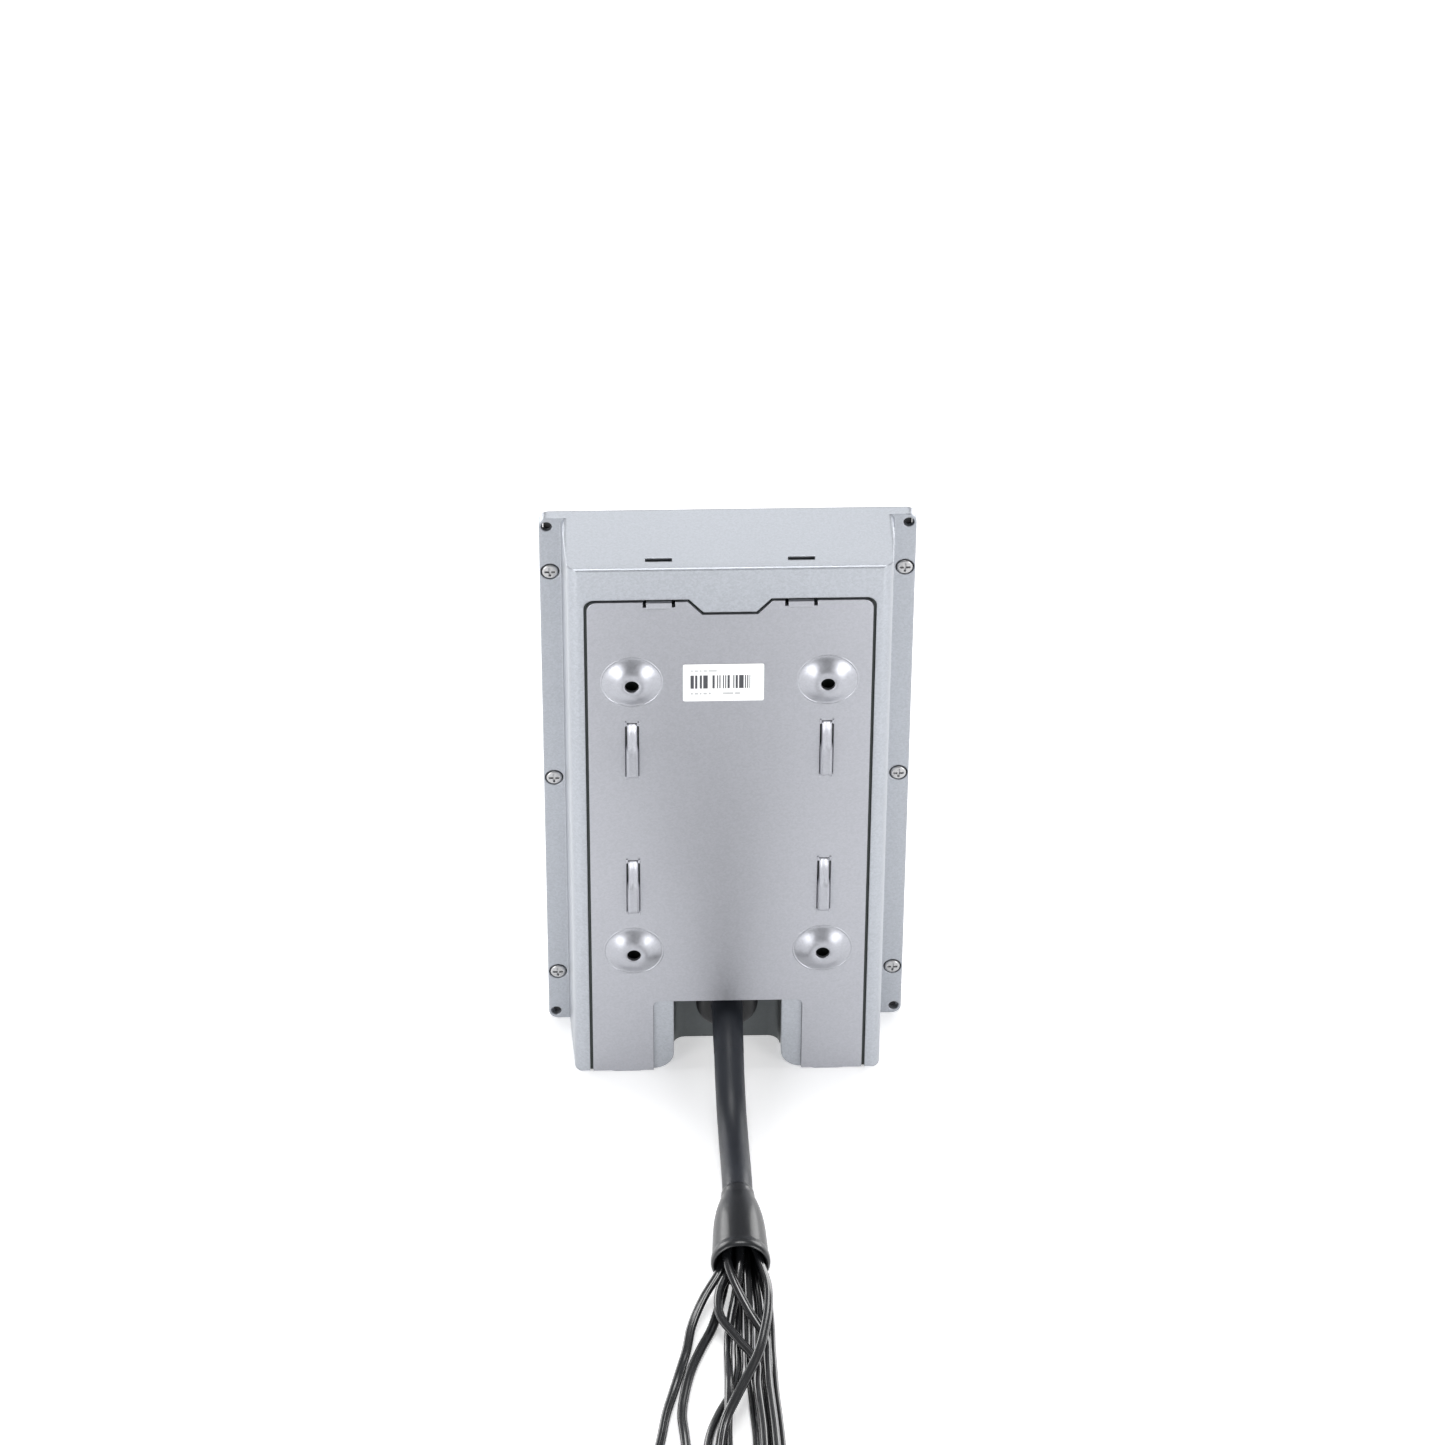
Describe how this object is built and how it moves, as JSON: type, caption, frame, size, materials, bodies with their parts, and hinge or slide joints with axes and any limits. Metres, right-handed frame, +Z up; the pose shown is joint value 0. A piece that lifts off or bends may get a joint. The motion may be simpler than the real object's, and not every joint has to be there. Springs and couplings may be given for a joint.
{
  "type": "pay station terminal",
  "caption": "Flat upright pay terminal seen best from behind: cast shell on a hooked wall plate, glass front with call button, and a rear lead that fans out into tails.",
  "frame": {"origin": "middle of the footprint of the terminal on the surface it stands on, without its leads", "axes": "+Z up, +Y out of the back towards the wall and along the lead, +X across, to the left of someone who looks at the back"},
  "size_m": [0.15, 0.3962, 0.262],
  "materials": {
    "cast_shell": "satin",
    "plate_steel": "satin",
    "screw_steel": "polished",
    "dark_screw": "satin",
    "gasket_rubber": "matt",
    "frame_plastic": "matt",
    "front_glass": "gloss",
    "display": "gloss",
    "bracket_steel": "satin",
    "film": "satin",
    "board": "satin",
    "chips": "matt",
    "heat_block": "satin",
    "relay_plastic": "satin",
    "lens_glass": "gloss",
    "light_plastic": "gloss",
    "ring_metal": "satin",
    "button_plastic": "gloss",
    "switch_plastic": "matt",
    "plunger_plastic": "satin",
    "gland_plastic": "satin",
    "seal_rubber": "matt",
    "label_paper": "satin",
    "lead_jacket": "satin",
    "boot_plastic": "satin",
    "tail_jacket": "gloss",
    "plug_plastic": "satin"
  },
  "bodies": {
    "wall_plate": {"wall_plate": "plate_steel", "lock_screws": "dark_screw"},
    "terminal": {"rear_housing": "cast_shell", "housing_gasket": "gasket_rubber", "front_frame": "frame_plastic", "cover_glass": "front_glass", "display_panel": "display", "display_bracket": "bracket_steel", "display_screws": "screw_steel", "display_ribbon": "film", "main_board": "board", "board_parts": "chips", "board_screws": "screw_steel", "heat_spreader": "heat_block", "io_board": "board", "io_parts": "relay_plastic", "io_screws": "screw_steel", "antenna_board": "board", "scanner_module": "switch_plastic", "scanner_lens": "lens_glass", "speaker": "switch_plastic", "microphone": "switch_plastic", "light_guide": "light_plastic", "led_board": "board", "call_switch": "switch_plastic", "button_ring": "ring_metal", "tamper_switch": "switch_plastic", "gland_body": "gland_plastic", "gland_nut": "gland_plastic", "gland_seal": "seal_rubber", "gland_locknut": "gland_plastic", "inner_leads": "lead_jacket", "housing_screws": "screw_steel", "id_label": "label_paper", "main_cable": "lead_jacket", "breakout_boot": "boot_plastic", "power_tail": "tail_jacket", "network_tail": "tail_jacket", "serial_tail": "tail_jacket", "barrier_tail": "tail_jacket", "relay_tail": "tail_jacket", "loop_tail": "tail_jacket", "sensor_tail": "tail_jacket", "intercom_tail": "tail_jacket", "usb_tail": "tail_jacket", "alarm_tail": "tail_jacket", "power_plug": "plug_plastic", "network_plug": "plug_plastic", "serial_plug": "plug_plastic", "barrier_plug": "plug_plastic", "relay_plug": "plug_plastic", "loop_plug": "plug_plastic", "sensor_plug": "plug_plastic", "intercom_plug": "plug_plastic", "usb_plug": "plug_plastic", "alarm_plug": "plug_plastic"},
    "call_button": {"call_button": "button_plastic"},
    "tamper_plunger": {"tamper_plunger": "plunger_plastic"}
  },
  "joints": [
    {"name": "lift_off", "type": "slide", "parent": "wall_plate", "child": "terminal", "axis": [0, 0, 1], "range_m": [0, 0.0055]},
    {"name": "call_press", "type": "slide", "parent": "terminal", "child": "call_button", "axis": [0, 1, 0], "range_m": [0, 0.001], "stiffness_N_per_m": 800},
    {"name": "tamper_press", "type": "slide", "parent": "terminal", "child": "tamper_plunger", "axis": [0, -1, 0], "range_m": [0, 0.001], "stiffness_N_per_m": 300}
  ]
}
